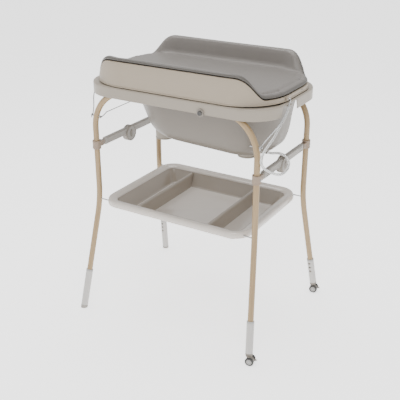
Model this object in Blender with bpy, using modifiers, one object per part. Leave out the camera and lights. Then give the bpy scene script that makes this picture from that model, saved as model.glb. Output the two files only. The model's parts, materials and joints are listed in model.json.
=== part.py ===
"""Changing table with a bath: a folding tube frame, a lift-off bath, a swing-away padded top and a tray.

Metres, +Z up. X runs along the table, -Y is the near side, and the origin is on the floor under the middle.
"""

import math

import bmesh
import bpy
from mathutils import Matrix, Vector

# ---- driving dimensions -------------------------------------------------------------------------
GAP = 0.0003                      # clearance between pieces that touch

TUBE_R = 0.011                    # frame tube
LEG_X = 0.340                     # upright part of each leg
LEG_Y = 0.208
KNEE_Z = 0.460                    # where the leg starts to splay
FOOT_X = 0.380
FOOT_Y = 0.304
BEND_R = 0.150                    # bend from the leg into the top bar
BEND_TAIL = 0.003                 # straight end of the bend, where it meets the top bar
TOP_BAR_Z = 0.905
KNEE_BLEND = 0.060                # half height of the knee's curve

SLEEVE_R = 0.0138                 # telescopic foot sleeve
SLEEVE_TOP = 0.163
HOLE_PITCH = 0.020
HOLE_R = 0.0034
BUTTON_LOW = 0.0050               # inner and outer end of a snap button, from the leg's axis
BUTTON_HIGH = 0.0108
LEG_END_Z = 0.104                 # lower end of the frame tube inside the sleeve
CASTER_SLEEVE_Z = 0.047           # lower end of the sleeves that carry casters

COLLAR_R = 0.0158
COLLAR_Z = 0.6855
COLLAR_H = 0.032
PIVOT_Y = 0.178                   # folding pivot beside each collar
STRUT_H = 0.027
STRUT_W = 0.018
DISC_R = 0.0315
DISC_W = 0.0115                   # one half-lapped disc
CENTRE_Z = COLLAR_Z - STRUT_H / 2
CENTRE_PIN_R = 0.0042             # pin through the discs, and its domed heads
CENTRE_HEAD_R = 0.0085
CENTRE_HEAD = 0.0022

ROD_R = 0.0025                    # tray rods
ROD_Z = 0.463
ROD_Y = 0.2108

BOLT_Z = 0.800
BOLT_R = 0.003
BOLT_X = 0.3331                   # leg centre line at the bolts' height

RIM_X = 0.385                     # bath rim outline
RIM_Y = 0.232
RIM_CORNER = 0.125
RIM_TOP = 0.928
SKIRT_BOTTOM = 0.886
WALL = 0.0035                     # moulded walls of the bath

SHELL_X = 0.378                   # changing top outline
SHELL_Y = 0.229
SHELL_CORNER = 0.165
SHELL_BOTTOM = 0.9305
SHELL_WALL_TOP = 1.0215
SHELL_END_TOP = 0.9475
SHELL_FLOOR = 0.9445

TRAY_X = 0.312
TRAY_Y = 0.240
TRAY_CORNER = 0.070
TRAY_TOP = 0.477
TRAY_WALL = 0.0025

HOSE_R = 0.0045
WIRE_R = 0.0021

WHEEL_R = 0.0165

SIDES = (("left", -1), ("right", 1))
ENDS = (("front", -1), ("rear", 1))
BOLTED_LEGS = (("front", "left"), ("front", "right"), ("rear", "left"))


# ---- scene helpers ------------------------------------------------------------------------------
def clear_scene():
    """Remove what the scene holds."""
    for obj in list(bpy.data.objects):
        bpy.data.objects.remove(obj, do_unlink=True)


def new_collection(name):
    """A collection under the scene's own."""
    collection = bpy.data.collections.new(name)
    bpy.context.scene.collection.children.link(collection)
    return collection


clear_scene()
PARTS = new_collection("changing_table")
CUTTERS = new_collection("cutters")


def material(name, colour, roughness, metallic=0.0, transmission=0.0):
    """A Principled material."""
    mat = bpy.data.materials.new(name)
    mat.use_nodes = True
    shader = mat.node_tree.nodes["Principled BSDF"]
    shader.inputs["Base Color"].default_value = (*colour, 1.0)
    shader.inputs["Roughness"].default_value = roughness
    shader.inputs["Metallic"].default_value = metallic
    shader.inputs["Transmission Weight"].default_value = transmission
    return mat


BEIGE_TUBE = material("beige_tube", (0.56, 0.46, 0.33), 0.45)
SLEEVE_GREY = material("sleeve_grey", (0.52, 0.51, 0.50), 0.40)
FITTING_GREY = material("fitting_grey", (0.36, 0.34, 0.32), 0.50)
SHELL_BEIGE = material("shell_beige", (0.47, 0.42, 0.37), 0.50)
BATH_GREY = material("bath_grey", (0.42, 0.39, 0.36), 0.40)
MAT_GREY = material("mat_grey", (0.30, 0.27, 0.25), 0.45)
TRAY_GREY = material("tray_grey", (0.55, 0.52, 0.49), 0.25)
STEEL = material("steel", (0.60, 0.60, 0.60), 0.30, 1.0)
HOSE_CLEAR = material("hose_clear", (0.80, 0.80, 0.80), 0.20, 0.0, 0.6)
RUBBER_GREY = material("rubber_grey", (0.16, 0.16, 0.16), 0.70)


def add_part(name, mesh, mat, smooth_angle=35.0):
    """Put a finished mesh in the collection of parts."""
    obj = bpy.data.objects.new(name, mesh)
    PARTS.objects.link(obj)
    mesh.materials.clear()
    mesh.materials.append(mat)
    mesh.shade_smooth()
    mesh.set_sharp_from_angle(angle=math.radians(smooth_angle))
    return obj


def add_cutter(name, mesh):
    """Put a mesh in the collection of cutters, shown as wire."""
    obj = bpy.data.objects.new(name, mesh)
    CUTTERS.objects.link(obj)
    obj.hide_render = True
    obj.display_type = "WIRE"
    return obj


def to_mesh(build, name):
    """A mesh made by a function that fills a bmesh."""
    bm = bmesh.new()
    build(bm)
    bmesh.ops.recalc_face_normals(bm, faces=bm.faces)
    mesh = bpy.data.meshes.new(name)
    bm.to_mesh(mesh)
    bm.free()
    return mesh


def frame_along(start, end):
    """A matrix whose Z runs from start to end, at their middle."""
    start = Vector(start)
    end = Vector(end)
    turn = (end - start).to_track_quat("Z", "Y").to_matrix().to_4x4()
    return Matrix.Translation((start + end) / 2) @ turn


def cylinder_mesh(name, start, end, radius, segments=24, end_radius=None):
    """A closed cylinder or cone from start to end."""
    def build(bm):
        bmesh.ops.create_cone(
            bm, cap_ends=True, segments=segments, radius1=radius,
            radius2=radius if end_radius is None else end_radius,
            depth=(Vector(end) - Vector(start)).length, matrix=frame_along(start, end))
    return to_mesh(build, name)


def box_mesh(name, low, high):
    """A closed box between two corners."""
    size = Vector(high) - Vector(low)
    place = Matrix.Translation((Vector(low) + Vector(high)) / 2) @ Matrix.Diagonal((*size, 1.0))

    def build(bm):
        bmesh.ops.create_cube(bm, size=1.0, matrix=place)
    return to_mesh(build, name)


def loft_mesh(name, rings, close_first=True, close_last=True):
    """Skin between rings of equal point counts."""
    def build(bm):
        rows = [[bm.verts.new(point) for point in ring] for ring in rings]
        count = len(rings[0])
        for row, following in zip(rows, rows[1:]):
            for i in range(count):
                j = (i + 1) % count
                bm.faces.new((row[i], row[j], following[j], following[i]))
        if close_first:
            bm.faces.new(rows[0])
        if close_last:
            bm.faces.new(rows[-1])
    return to_mesh(build, name)


def curve_mesh(name, points, radius, resolution=2):
    """A round wire or tube with welded caps, made from a POLY curve."""
    data = bpy.data.curves.new(name, "CURVE")
    data.dimensions = "3D"
    data.bevel_depth = radius
    data.bevel_resolution = resolution
    data.use_fill_caps = True
    spline = data.splines.new("POLY")
    spline.points.add(len(points) - 1)
    for slot, point in zip(spline.points, points):
        slot.co = (*point, 1.0)
    curve = bpy.data.objects.new(name, data)
    bpy.context.scene.collection.objects.link(curve)
    evaluated = curve.evaluated_get(bpy.context.evaluated_depsgraph_get())
    mesh = bpy.data.meshes.new_from_object(evaluated)
    bpy.data.objects.remove(curve, do_unlink=True)
    bm = bmesh.new()
    bm.from_mesh(mesh)
    bmesh.ops.remove_doubles(bm, verts=bm.verts, dist=0.00001)
    bmesh.ops.recalc_face_normals(bm, faces=bm.faces)
    bm.to_mesh(mesh)
    bm.free()
    return mesh


def boolean(obj, cutter_mesh, operation="DIFFERENCE"):
    """Cut or join a shape, exactly, and return the object that does it."""
    cutter = add_cutter(f"{obj.name}_{operation.lower()}_{len(obj.modifiers)}", cutter_mesh)
    modifier = obj.modifiers.new(operation.lower(), "BOOLEAN")
    modifier.operation = operation
    modifier.solver = "EXACT"
    modifier.object = cutter
    return cutter


def bevel(obj, width, segments=2, angle=40.0):
    """Round the sharp edges."""
    modifier = obj.modifiers.new("bevel", "BEVEL")
    modifier.width = width
    modifier.segments = segments
    modifier.limit_method = "ANGLE"
    modifier.angle_limit = math.radians(angle)


def body_empty(name, place):
    """The joint axis of a moving body, as an empty."""
    empty = bpy.data.objects.new(name, None)
    PARTS.objects.link(empty)
    empty.empty_display_size = 0.03
    empty.location = place
    return empty


def hang(empty, *pieces):
    """Parent pieces to a joint's empty without moving them."""
    inverse = Matrix.Translation(empty.location).inverted()
    for piece in pieces:
        piece.parent = empty
        piece.matrix_parent_inverse = inverse


def catmull(points, per_span):
    """Points on a smooth curve through the given ones."""
    points = [Vector(p) for p in points]
    padded = [2 * points[0] - points[1]] + points + [2 * points[-1] - points[-2]]
    smooth = []
    for a, b, c, d in zip(padded, padded[1:], padded[2:], padded[3:]):
        for step in range(per_span):
            t = step / per_span
            smooth.append(0.5 * (2 * b + (c - a) * t + (2 * a - 5 * b + 4 * c - d) * t ** 2
                                 + (3 * b - a - 3 * c + d) * t ** 3))
    smooth.append(points[-1])
    return smooth


def resample(points, spacing):
    """Evenly spaced points along a smooth path."""
    lengths = [0.0]
    for a, b in zip(points, points[1:]):
        lengths.append(lengths[-1] + (b - a).length)
    count = max(2, round(lengths[-1] / spacing))
    result = []
    k = 0
    for i in range(count + 1):
        at = lengths[-1] * i / count
        while k < len(points) - 2 and lengths[k + 1] < at:
            k += 1
        share = (at - lengths[k]) / max(lengths[k + 1] - lengths[k], 1e-9)
        result.append(points[k].lerp(points[k + 1], share))
    return result


def rounded_outline(half_x, half_y, radius, corner_steps=8, side_steps=4, middle_x=0.0):
    """A rounded rectangle, anticlockwise from its +X side."""
    points = []
    corners = ((1, 1, 0), (-1, 1, 90), (-1, -1, 180), (1, -1, 270))
    for sign_x, sign_y, start in corners:
        cx = middle_x + sign_x * (half_x - radius)
        cy = sign_y * (half_y - radius)
        for i in range(corner_steps + 1):
            a = math.radians(start + 90 * i / corner_steps)
            points.append((cx + radius * math.cos(a), cy + radius * math.sin(a)))
    full = []
    for index, point in enumerate(points):
        full.append(point)
        if (index + 1) % (corner_steps + 1) == 0:
            following = points[(index + 1) % len(points)]
            for k in range(1, side_steps):
                t = k / side_steps
                full.append((point[0] + (following[0] - point[0]) * t,
                             point[1] + (following[1] - point[1]) * t))
    return full


# ---- folding frame ------------------------------------------------------------------------------
def leg_centre(z, sx, sy):
    """The centre line of a leg below its top bend."""
    drop = KNEE_Z - z
    if drop >= KNEE_BLEND:
        bow = drop
    elif drop <= -KNEE_BLEND:
        bow = 0.0
    else:
        bow = (drop + KNEE_BLEND) ** 2 / (4 * KNEE_BLEND)
    return Vector((sx * (LEG_X + (FOOT_X - LEG_X) * bow / KNEE_Z),
                   sy * (LEG_Y + (FOOT_Y - LEG_Y) * bow / KNEE_Z), z))


def leg_axis(sx, sy):
    """Unit vector up along the splayed lower leg."""
    return (leg_centre(0.3, sx, sy) - leg_centre(0.0, sx, sy)).normalized()


def hole_axis(sx, sy):
    """Unit vector square to the lower leg, towards the middle of the table."""
    axis = leg_axis(sx, sy)
    inward = Vector((0, -sy, 0))
    return (inward - axis * inward.dot(axis)).normalized()


def hole_place(sx, sy, index):
    """Centre of one height hole on the sleeve's axis, counted from its top."""
    top = leg_centre(SLEEVE_TOP, sx, sy)
    return top - leg_axis(sx, sy) * (0.016 + HOLE_PITCH * index)


def leg_path(sx, sy):
    """The leg from its lower end round the bend to the top bar."""
    lower = [leg_centre(z, sx, sy) for z in (LEG_END_Z, KNEE_Z - KNEE_BLEND)]
    knee = [leg_centre(KNEE_Z - KNEE_BLEND + KNEE_BLEND * 2 * i / 4, sx, sy) for i in range(1, 5)]
    bend_z = TOP_BAR_Z - BEND_R
    bend = []
    for i in range(10):
        a = math.radians(90 * i / 9)
        bend.append(Vector((sx * (LEG_X - BEND_R + BEND_R * math.cos(a)), sy * LEG_Y,
                            bend_z + BEND_R * math.sin(a))))
    straight = bend[-1] - Vector((sx * BEND_TAIL, 0, 0))
    return lower + knee + bend + [straight]


def make_legs():
    """Four bent tubes, each with the snap button's hole, and the two top bars."""
    for end, sy in ENDS:
        for side, sx in SIDES:
            name = f"{end}_leg_{side}"
            leg = add_part(name, curve_mesh(name, leg_path(sx, sy), TUBE_R, 4), BEIGE_TUBE)
            place = hole_place(sx, sy, 0)
            out = hole_axis(sx, sy)
            boolean(leg, cylinder_mesh("hole", place + out * 0.0020, place + out * 0.016, HOLE_R, 10))
            if (end, side) in BOLTED_LEGS:
                boolean(leg, cylinder_mesh("bolt_hole", (sx * (BOLT_X - 0.03), sy * LEG_Y, BOLT_Z),
                                           (sx * (BOLT_X + 0.03), sy * LEG_Y, BOLT_Z), BOLT_R + GAP, 12))
        name = f"{end}_top_bar"
        reach = LEG_X - BEND_R - BEND_TAIL - GAP
        bar = cylinder_mesh(name, (-reach, sy * LEG_Y, TOP_BAR_Z), (reach, sy * LEG_Y, TOP_BAR_Z), TUBE_R, 12)
        add_part(name, bar, BEIGE_TUBE)


def make_tray_rods():
    """The steel rods between the legs that carry the tray."""
    for end, sy in ENDS:
        leg = leg_centre(ROD_Z, 1, 1)
        reach = leg.x - math.sqrt(TUBE_R ** 2 - (leg.y - ROD_Y) ** 2) - GAP
        name = f"{end}_tray_rod"
        rod = cylinder_mesh(name, (-reach, sy * ROD_Y, ROD_Z), (reach, sy * ROD_Y, ROD_Z), ROD_R, 10)
        add_part(name, rod, STEEL)


CHEEK_IN = 0.0046                 # clevis cheeks either side of the strut's tongue
CHEEK_OUT = STRUT_W / 2
CHEEK_H = 0.010
PIN_R = 0.003


def make_collars():
    """A collar on each leg with a clevis for the strut."""
    for end, sy in ENDS:
        for side, sx in SIDES:
            name = f"{end}_collar_{side}"
            x = sx * LEG_X
            low = (x, sy * LEG_Y, COLLAR_Z - COLLAR_H / 2)
            high = (x, sy * LEG_Y, COLLAR_Z + COLLAR_H / 2)
            collar = add_part(name, cylinder_mesh(name, low, high, COLLAR_R, 20), FITTING_GREY)
            lug_y = sorted((sy * (LEG_Y - 0.004), sy * PIVOT_Y))
            lug = box_mesh("lug", (x - CHEEK_OUT, lug_y[0], COLLAR_Z - CHEEK_H),
                           (x + CHEEK_OUT, lug_y[1], COLLAR_Z + CHEEK_H))
            boolean(collar, lug, "UNION")
            nose = cylinder_mesh("nose", (x - CHEEK_OUT, sy * PIVOT_Y, COLLAR_Z),
                                 (x + CHEEK_OUT, sy * PIVOT_Y, COLLAR_Z), CHEEK_H, 12)
            boolean(collar, nose, "UNION")
            slot_y = sorted((sy * (LEG_Y - 0.0168), sy * (PIVOT_Y - 0.02)))
            boolean(collar, box_mesh("slot", (x - CHEEK_IN, slot_y[0], COLLAR_Z - 0.03),
                                     (x + CHEEK_IN, slot_y[1], COLLAR_Z + 0.03)))
            boolean(collar, cylinder_mesh("bore", (x, sy * LEG_Y, COLLAR_Z - 0.05),
                                          (x, sy * LEG_Y, COLLAR_Z + 0.05), TUBE_R + 2 * GAP, 20))
            boolean(collar, cylinder_mesh("eye", (x - 0.03, sy * PIVOT_Y, COLLAR_Z),
                                          (x + 0.03, sy * PIVOT_Y, COLLAR_Z), PIN_R + GAP, 12))


def rivet_mesh(name, y, z, x_low, x_high, radius, head_radius, head):
    """A pin along X with a domed head at each end."""
    profile = [(x_low - head, head_radius * 0.6), (x_low - head * 0.4, head_radius), (x_low, head_radius),
               (x_low, radius), (x_high, radius), (x_high, head_radius),
               (x_high + head * 0.4, head_radius), (x_high + head, head_radius * 0.6)]
    rings = []
    for x, r in profile:
        rings.append([(x, y + r * math.cos(a), z + r * math.sin(a))
                      for a in (math.radians(30 * i) for i in range(12))])
    return loft_mesh(name, rings)


def make_strut_half(end, sy, side, sx):
    """Half of a folding side strut: beam, tongue and half-lapped disc."""
    name = f"{side}_{end}_strut"
    x = sx * LEG_X
    beam_end = PIVOT_Y - 0.0142
    beam_y = sorted((0.0, sy * beam_end))
    beam_low = (x - STRUT_W / 2, beam_y[0], COLLAR_Z - STRUT_H / 2)
    beam_high = (x + STRUT_W / 2, beam_y[1], COLLAR_Z + STRUT_H / 2)
    strut = add_part(name, box_mesh(name, beam_low, beam_high), FITTING_GREY)
    bevel(strut, 0.003, 1)
    lap = 1 if end == "front" else -1
    own_low = x + sx * lap * GAP
    own_high = x + sx * lap * DISC_W
    disc = cylinder_mesh("disc", (own_low, 0, CENTRE_Z), (own_high, 0, CENTRE_Z), DISC_R, 24)
    boolean(strut, disc, "UNION")
    other = cylinder_mesh("lap", (x + sx * lap * 2 * GAP * 0.5, 0, CENTRE_Z),
                          (x - sx * lap * 0.02, 0, CENTRE_Z), DISC_R + 3 * GAP, 24)
    boolean(strut, other)
    tongue_y = sorted((sy * (beam_end - 0.01), sy * PIVOT_Y))
    boolean(strut, box_mesh("tongue", (x - CHEEK_IN + GAP, tongue_y[0], COLLAR_Z - 0.009),
                            (x + CHEEK_IN - GAP, tongue_y[1], COLLAR_Z + 0.009)), "UNION")
    boolean(strut, cylinder_mesh("tongue_end", (x - CHEEK_IN + GAP, sy * PIVOT_Y, COLLAR_Z),
                                 (x + CHEEK_IN - GAP, sy * PIVOT_Y, COLLAR_Z), 0.009, 12), "UNION")
    pin_r = PIN_R
    if side == "right" and end == "front":
        pin_r = PIN_R - GAP
    boolean(strut, cylinder_mesh("pin", (x - CHEEK_OUT - 0.001, sy * PIVOT_Y, COLLAR_Z),
                                 (x + CHEEK_OUT + 0.001, sy * PIVOT_Y, COLLAR_Z), pin_r, 12), "UNION")
    boolean(strut, cylinder_mesh("hub", (x - 0.03, 0, CENTRE_Z), (x + 0.03, 0, CENTRE_Z), 0.0045, 12))
    return strut


def make_struts():
    """Both folding side struts and their centre pins."""
    for side, sx in SIDES:
        rear = make_strut_half("rear", 1, side, sx)
        front = make_strut_half("front", -1, side, sx)
        x = sx * LEG_X
        name = f"{side}_centre_pin"
        reach = DISC_W + GAP
        rivet = rivet_mesh(name, 0, CENTRE_Z, x - reach, x + reach, CENTRE_PIN_R, CENTRE_HEAD_R, CENTRE_HEAD)
        pin = add_part(name, rivet, FITTING_GREY)
        hang(body_empty(f"{side}_rear_strut_axis", (x, PIVOT_Y, COLLAR_Z)), rear, pin)
        hang(body_empty(f"{side}_front_strut_axis", (x, 0, CENTRE_Z)), front)


def make_bolts():
    """The cross bolts near the top of three legs that the wires hook on."""
    for end, sy in ENDS:
        for side, sx in SIDES:
            if (end, side) in BOLTED_LEGS:
                name = f"{end}_bolt_{side}"
                reach = (BOLT_X - TUBE_R - 0.011, BOLT_X + TUBE_R + 0.0125)
                add_part(name, cylinder_mesh(name, (sx * reach[0], sy * LEG_Y, BOLT_Z),
                                             (sx * reach[1], sy * LEG_Y, BOLT_Z), BOLT_R, 12), STEEL)


# ---- telescopic feet ----------------------------------------------------------------------------
def make_sleeves():
    """Four sleeves with three height holes each, and the snap buttons, pushed in."""
    for end, sy in ENDS:
        for side, sx in SIDES:
            name = f"{end}_sleeve_{side}"
            axis = leg_axis(sx, sy)
            out = hole_axis(sx, sy)
            top = leg_centre(SLEEVE_TOP, sx, sy)
            bottom_z = 0.012 if side == "left" else CASTER_SLEEVE_Z
            bottom = leg_centre(bottom_z, sx, sy)
            sleeve = add_part(name, cylinder_mesh(name, bottom, top, SLEEVE_R, 20), SLEEVE_GREY)
            bore = cylinder_mesh("bore", bottom - axis * 0.01, top + axis * 0.01, TUBE_R + 2 * GAP, 20)
            boolean(sleeve, bore)
            for index in range(3):
                place = hole_place(sx, sy, index)
                boolean(sleeve, cylinder_mesh("hole", place + out * 0.005, place + out * 0.02, HOLE_R, 10))
            place = hole_place(sx, sy, 0)
            button_name = f"{end}_snap_button_{side}"
            button_low = place + out * BUTTON_LOW
            button_high = place + out * BUTTON_HIGH
            round_pin = cylinder_mesh(button_name, button_low, button_high, HOLE_R - 2 * GAP, 10)
            button = add_part(button_name, round_pin, STEEL)
            hang(body_empty(f"{button_name}_axis", place), button)
            hang(body_empty(f"{name}_axis", top), sleeve)


def make_foot_caps():
    """Rounded plugs in the two plain feet, cut level with the floor."""
    for end, sy in ENDS:
        name = f"{end}_foot_cap_left"
        axis = leg_axis(-1, sy)
        shoulder = leg_centre(0.012, -1, sy) - axis * GAP
        stem_top = shoulder + axis * 0.022
        cap = add_part(name, cylinder_mesh(name, shoulder - axis * 0.03, shoulder, SLEEVE_R, 20), RUBBER_GREY)
        boolean(cap, cylinder_mesh("stem", shoulder - axis * 0.006, stem_top, TUBE_R - GAP, 16), "UNION")
        boolean(cap, box_mesh("floor", (-0.5, -0.5, -0.1), (0.5, 0.5, 0.0)))


# ---- casters ------------------------------------------------------------------------------------
CASTER_TRAIL = 0.005
AXLE_TURN = math.radians(100.0)    # heading of the axle from +X
WHEEL_W = 0.009
WHEEL_GAP = 0.0155                # between the two wheels' inner faces


def caster_axes():
    """Unit vectors of a caster: along its axle and towards its trailing side."""
    axle = Vector((math.cos(AXLE_TURN), math.sin(AXLE_TURN), 0))
    trail = Vector((math.sin(AXLE_TURN), -math.cos(AXLE_TURN), 0))
    return axle, trail


def wheel_rings(centre, axle, inner_r, outer_r, width, segments=20):
    """A turned ring about the axle with rounded outer edges."""
    up = Vector((0, 0, 1))
    side = up.cross(axle)
    chamfer = 0.0014
    half = width / 2
    profile = [(-half, inner_r), (-half, outer_r - chamfer), (-half + chamfer, outer_r),
               (half - chamfer, outer_r), (half, outer_r - chamfer), (half, inner_r)]
    rings = []
    for along, r in profile:
        ring = []
        for i in range(segments):
            a = 2 * math.pi * i / segments
            ring.append(centre + axle * along + (side * math.cos(a) + up * math.sin(a)) * r)
        rings.append(ring)
    rings.append(rings[0])
    return rings


def ring_mesh(name, rings):
    """A closed ring from profile rings whose last repeats the first."""
    def build(bm):
        rows = [[bm.verts.new(point) for point in ring] for ring in rings[:-1]]
        rows.append(rows[0])
        count = len(rings[0])
        for row, following in zip(rows, rows[1:]):
            for i in range(count):
                j = (i + 1) % count
                bm.faces.new((row[i], row[j], following[j], following[i]))
    return to_mesh(build, name)


def make_caster(end, sy):
    """A twin wheel caster with a stem, axle, wheels, tyres and brake lever."""
    axle, trail = caster_axes()
    socket = leg_centre(CASTER_SLEEVE_Z, 1, sy)
    swivel = Vector((socket.x, socket.y, CASTER_SLEEVE_Z))
    centre = Vector((socket.x, socket.y, WHEEL_R)) + trail * CASTER_TRAIL
    up = Vector((0, 0, 1))

    plug_name = f"{end}_caster_plug"
    lean = leg_axis(1, sy)
    cap = cylinder_mesh(plug_name, socket - lean * 0.006 - lean * GAP, socket - lean * GAP, SLEEVE_R, 20)
    plug = add_part(plug_name, cap, FITTING_GREY)
    stem = cylinder_mesh("stem", socket - lean * 0.003, socket + lean * 0.012, TUBE_R - GAP, 16)
    boolean(plug, stem, "UNION")
    boolean(plug, box_mesh("level", swivel + Vector((-0.05, -0.05, -0.05)),
                           swivel + Vector((0.05, 0.05, -0.0085))))

    body_name = f"{end}_caster_body"
    body_top = swivel - up * (0.0085 + GAP)
    body = add_part(body_name, cylinder_mesh(body_name, body_top - up * 0.0042, body_top, 0.0125, 20, 0.0118),
                    FITTING_GREY)
    web_half = WHEEL_GAP / 2 - 0.0008
    stem = cylinder_mesh("stem", body_top - up * 0.0115, body_top - up * 0.002, web_half - GAP, 12)
    boolean(body, stem, "UNION")
    neck = cylinder_mesh("neck", centre - axle * web_half, centre + axle * web_half, 0.0135, 20)
    boolean(body, neck, "UNION")
    boolean(body, cylinder_mesh("axle_bore", centre - axle * 0.03, centre + axle * 0.03, 0.0024, 10))

    axle_name = f"{end}_caster_axle"
    reach = WHEEL_GAP / 2 + WHEEL_W + 0.001
    rod = cylinder_mesh(axle_name, centre - axle * reach, centre + axle * reach, 0.0019, 10)
    pin = add_part(axle_name, rod, STEEL)

    wheels = []
    for label, sign in (("inner", -1), ("outer", 1)):
        middle = centre + axle * sign * (WHEEL_GAP + WHEEL_W) / 2
        wheel_name = f"{end}_caster_wheel_{label}"
        rings = wheel_rings(middle, axle, 0.0020 + GAP, WHEEL_R, WHEEL_W)
        wheels.append(add_part(wheel_name, ring_mesh(wheel_name, rings), RUBBER_GREY))

    brake_name = f"{end}_caster_brake"
    pivot = centre + trail * 0.0168 + up * 0.0060
    tip = pivot + trail * 0.008 - up * 0.002
    brake = add_part(brake_name, cylinder_mesh(brake_name, pivot, tip, 0.0035, 16, 0.0030), FITTING_GREY)

    hang(body_empty(f"{end}_caster_axis", swivel), body, pin)
    hang(body_empty(f"{end}_wheel_axis", centre), *wheels)
    hang(body_empty(f"{end}_brake_axis", pivot), brake)


# ---- bath ---------------------------------------------------------------------------------------
DRAIN_X = 0.225
BATH_FLOOR = 0.717
SPIGOT_Z = 0.7042                 # the drain's outlet towards the right end
KNOB_X = 0.134                    # lock knob on the near skirt
KNOB_Z = 0.892
BATH_FEET = ((-0.140, 0.042), (0.224, 0.056))
BATH_FOOT_Z = 0.7000
BATH_FOOT_R = 0.034
BATH_FOOT_TOP = 0.774             # inside the basin's wall, which trims it
# each level of the basin: left end, right end, half depth, corner radius, height at left and right
BATH_LEVELS = (
    (-0.352, 0.3755, 0.197, 0.105, 0.927, 0.927),
    (-0.262, 0.3660, 0.186, 0.130, 0.9185, 0.922),
    (-0.250, 0.3570, 0.180, 0.150, 0.908, 0.910),
    (-0.242, 0.3500, 0.176, 0.160, 0.885, 0.885),
    (-0.221, 0.3440, 0.171, 0.160, 0.845, 0.845),
    (-0.199, 0.3370, 0.165, 0.150, 0.800, 0.800),
    (-0.181, 0.3290, 0.157, 0.140, 0.770, 0.768),
    (-0.150, 0.3150, 0.146, 0.120, 0.752, 0.741),
    (-0.108, 0.2930, 0.130, 0.100, 0.741, 0.7265),
    (0.020, 0.2680, 0.095, 0.065, 0.7235, 0.7190),
    (0.150, 0.2580, 0.048, 0.036, BATH_FLOOR, BATH_FLOOR),
)


def bath_ring(x_low, x_high, half_y, radius, z_left, z_right):
    """One level of the bath, which may slope along X."""
    middle = (x_low + x_high) / 2
    half = (x_high - x_low) / 2
    ring = []
    for x, y in rounded_outline(half, half_y, radius, 6, 4, middle):
        share = min(max((x - x_low) / (x_high - x_low), 0.0), 1.0)
        ring.append((x, y, z_left + (z_right - z_left) * share))
    return ring


def make_bath_tub():
    """Rim, skirt and basin as one moulded shell."""
    rim = ((RIM_X, RIM_Y, RIM_CORNER, SKIRT_BOTTOM), (RIM_X, RIM_Y, RIM_CORNER, RIM_TOP - 0.006),
           (RIM_X - 0.0015, RIM_Y - 0.0015, RIM_CORNER - 0.0015, RIM_TOP - 0.0015),
           (RIM_X - 0.005, RIM_Y - 0.005, RIM_CORNER - 0.005, RIM_TOP))
    rings = [bath_ring(-hx, hx, hy, r, z, z) for hx, hy, r, z in rim]
    rings += [bath_ring(*level) for level in BATH_LEVELS]
    tub = add_part("bath_tub", loft_mesh("bath_tub", rings, close_first=False), BATH_GREY, 30.0)
    solid = tub.modifiers.new("wall", "SOLIDIFY")
    solid.thickness = WALL
    solid.offset = -1.0
    for sx in (-1, 1):
        x = sorted((sx * (RIM_X - 0.0062), sx * (RIM_X + 0.02)))
        boolean(tub, box_mesh("end_notch", (x[0], -0.124, 0.87), (x[1], -0.004, RIM_TOP - 0.0073)))
    swell = WALL / 2
    void = [bath_ring(x0 - swell, x1 + swell, hy + swell, r + swell, zl - swell, zr - swell)
            for x0, x1, hy, r, zl, zr in BATH_LEVELS[2:]]
    for x, y in BATH_FEET:
        for sy in (-1, 1):
            foot = cylinder_mesh("foot", (x, sy * y, BATH_FOOT_Z), (x, sy * y, BATH_FOOT_TOP),
                                 BATH_FOOT_R, 18, BATH_FOOT_R + 0.002)
            post = boolean(tub, foot, "UNION")
            boolean(post, loft_mesh("void", void))
    boolean(tub, cylinder_mesh("drain_hole", (DRAIN_X, 0, 0.69), (DRAIN_X, 0, 0.74), 0.0125, 16))
    return tub


def make_bath_fittings():
    """Drain fitting, drain plug, lock knob and its plate."""
    bath = []
    body = cylinder_mesh("drain_fitting", (DRAIN_X, 0, 0.6965), (DRAIN_X, 0, 0.7130), 0.0165, 20)
    drain = add_part("drain_fitting", body, FITTING_GREY)
    spigot_end = (DRAIN_X + 0.052, 0, SPIGOT_Z)
    boolean(drain, cylinder_mesh("spigot", (DRAIN_X, 0, SPIGOT_Z), spigot_end, 0.0062, 12), "UNION")
    boolean(drain, cylinder_mesh("drain_bore", (DRAIN_X, 0, 0.7035), (DRAIN_X, 0, 0.72), 0.0110, 14))
    bore_end = (DRAIN_X + 0.06, 0, SPIGOT_Z)
    boolean(drain, cylinder_mesh("spigot_bore", (DRAIN_X, 0, SPIGOT_Z), bore_end, 0.0035, 8))
    bath.append(drain)
    plate_y = -(RIM_Y + GAP)
    x, z = KNOB_X, KNOB_Z
    hexagon = cylinder_mesh("knob_plate", (x, plate_y, z), (x, plate_y - 0.0035, z), 0.0155, 6)
    bath.append(add_part("knob_plate", hexagon, BATH_GREY))
    dial = cylinder_mesh("lock_knob", (x, plate_y - 0.0038, z), (x, plate_y - 0.0098, z), 0.0085, 16, 0.0075)
    knob = add_part("lock_knob", dial, RUBBER_GREY)
    boolean(knob, box_mesh("knob_slot", (x - 0.0015, plate_y - 0.02, z - 0.02),
                           (x + 0.0015, plate_y - 0.0085, z + 0.02)))
    hang(body_empty("lock_knob_axis", (x, plate_y, z)), knob)
    lid_top = BATH_FLOOR + 0.004
    lid_low = (DRAIN_X, 0, BATH_FLOOR + GAP)
    lid = cylinder_mesh("drain_plug", lid_low, (DRAIN_X, 0, lid_top), 0.0170, 18, 0.0155)
    plug = add_part("drain_plug", lid, RUBBER_GREY)
    middle = (DRAIN_X, 0, BATH_FLOOR + 0.002)
    boolean(plug, cylinder_mesh("plug_stem", (DRAIN_X, 0, 0.7065), middle, 0.0100, 14), "UNION")
    boolean(plug, cylinder_mesh("plug_grip", middle, (DRAIN_X, 0, BATH_FLOOR + 0.014), 0.0045, 10), "UNION")
    hang(body_empty("drain_plug_axis", (DRAIN_X, 0, BATH_FLOOR)), plug)
    return bath


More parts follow.
